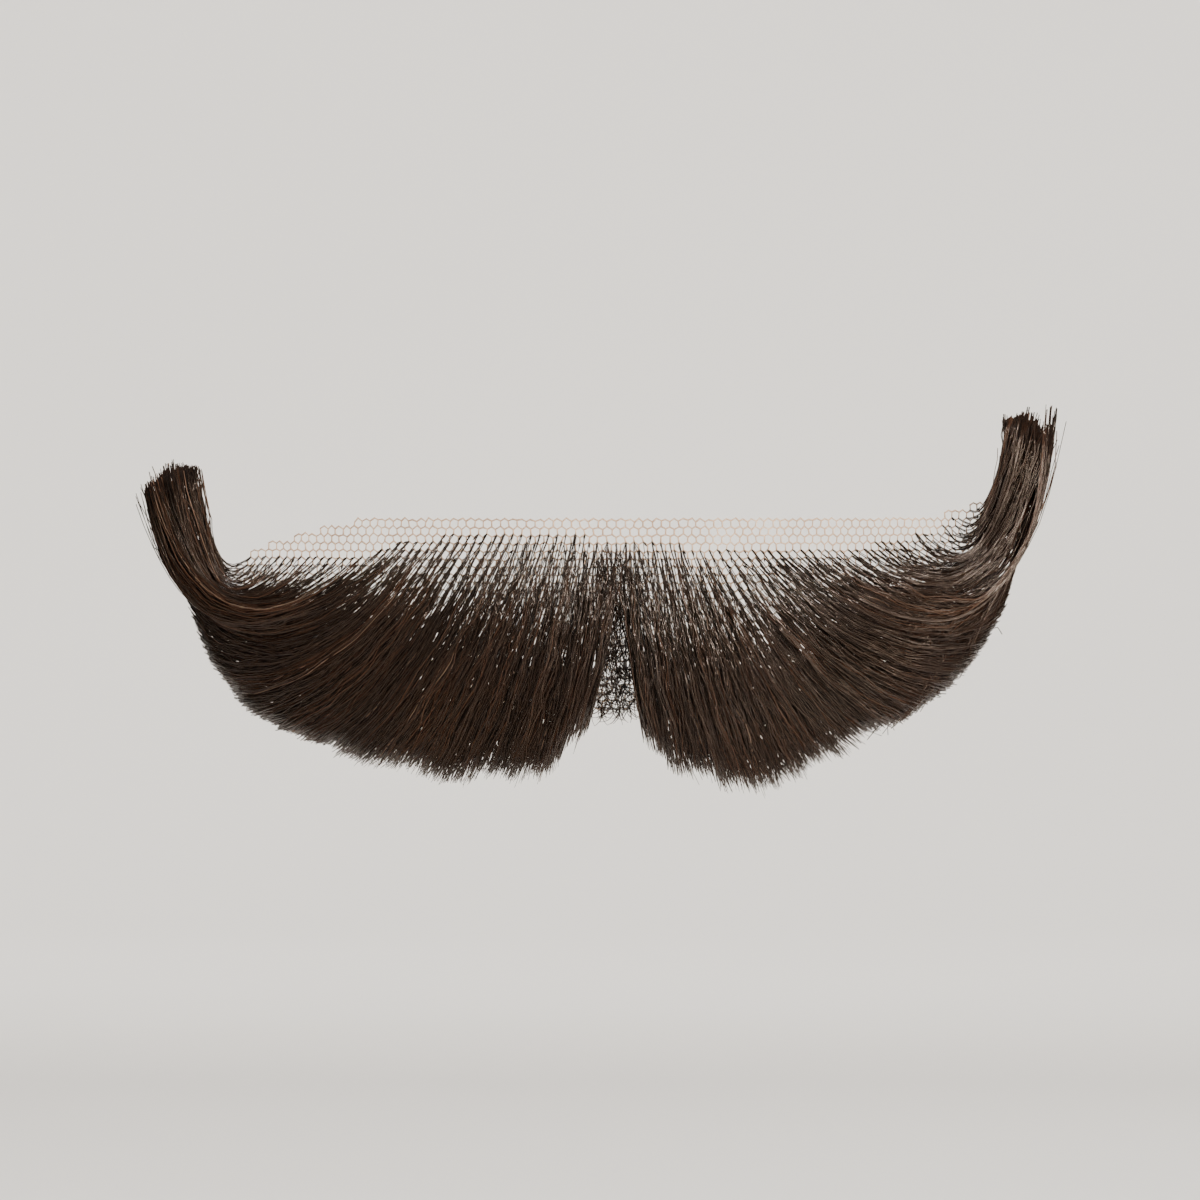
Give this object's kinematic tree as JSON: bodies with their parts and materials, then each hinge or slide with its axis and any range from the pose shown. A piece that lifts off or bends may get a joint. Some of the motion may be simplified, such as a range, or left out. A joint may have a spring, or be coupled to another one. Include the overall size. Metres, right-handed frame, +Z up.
{
  "type": "fake moustache",
  "caption": "Hand-tied false moustache: dark hair on a fine curved lace net, combed outwards from a parting, with upswept blunt-cut tips.",
  "frame": {"origin": "mount upper_lip: the middle of the lace foundation's back, where it is glued to the upper lip", "axes": "+X to the wearer's left along the moustache, +Y back into the face, +Z up"},
  "size_m": [0.108, 0.0294, 0.0425],
  "materials": {
    "lace": "fine open hexagonal net of flesh-coloured thread, slightly glossy",
    "hair": "dark brown combed hair with soft gloss along the strands and some reddish-brown strands"
  },
  "bodies": {
    "root": {"lace_foundation": "lace", "left_wing": "hair", "right_wing": "hair"}
  },
  "joints": []
}
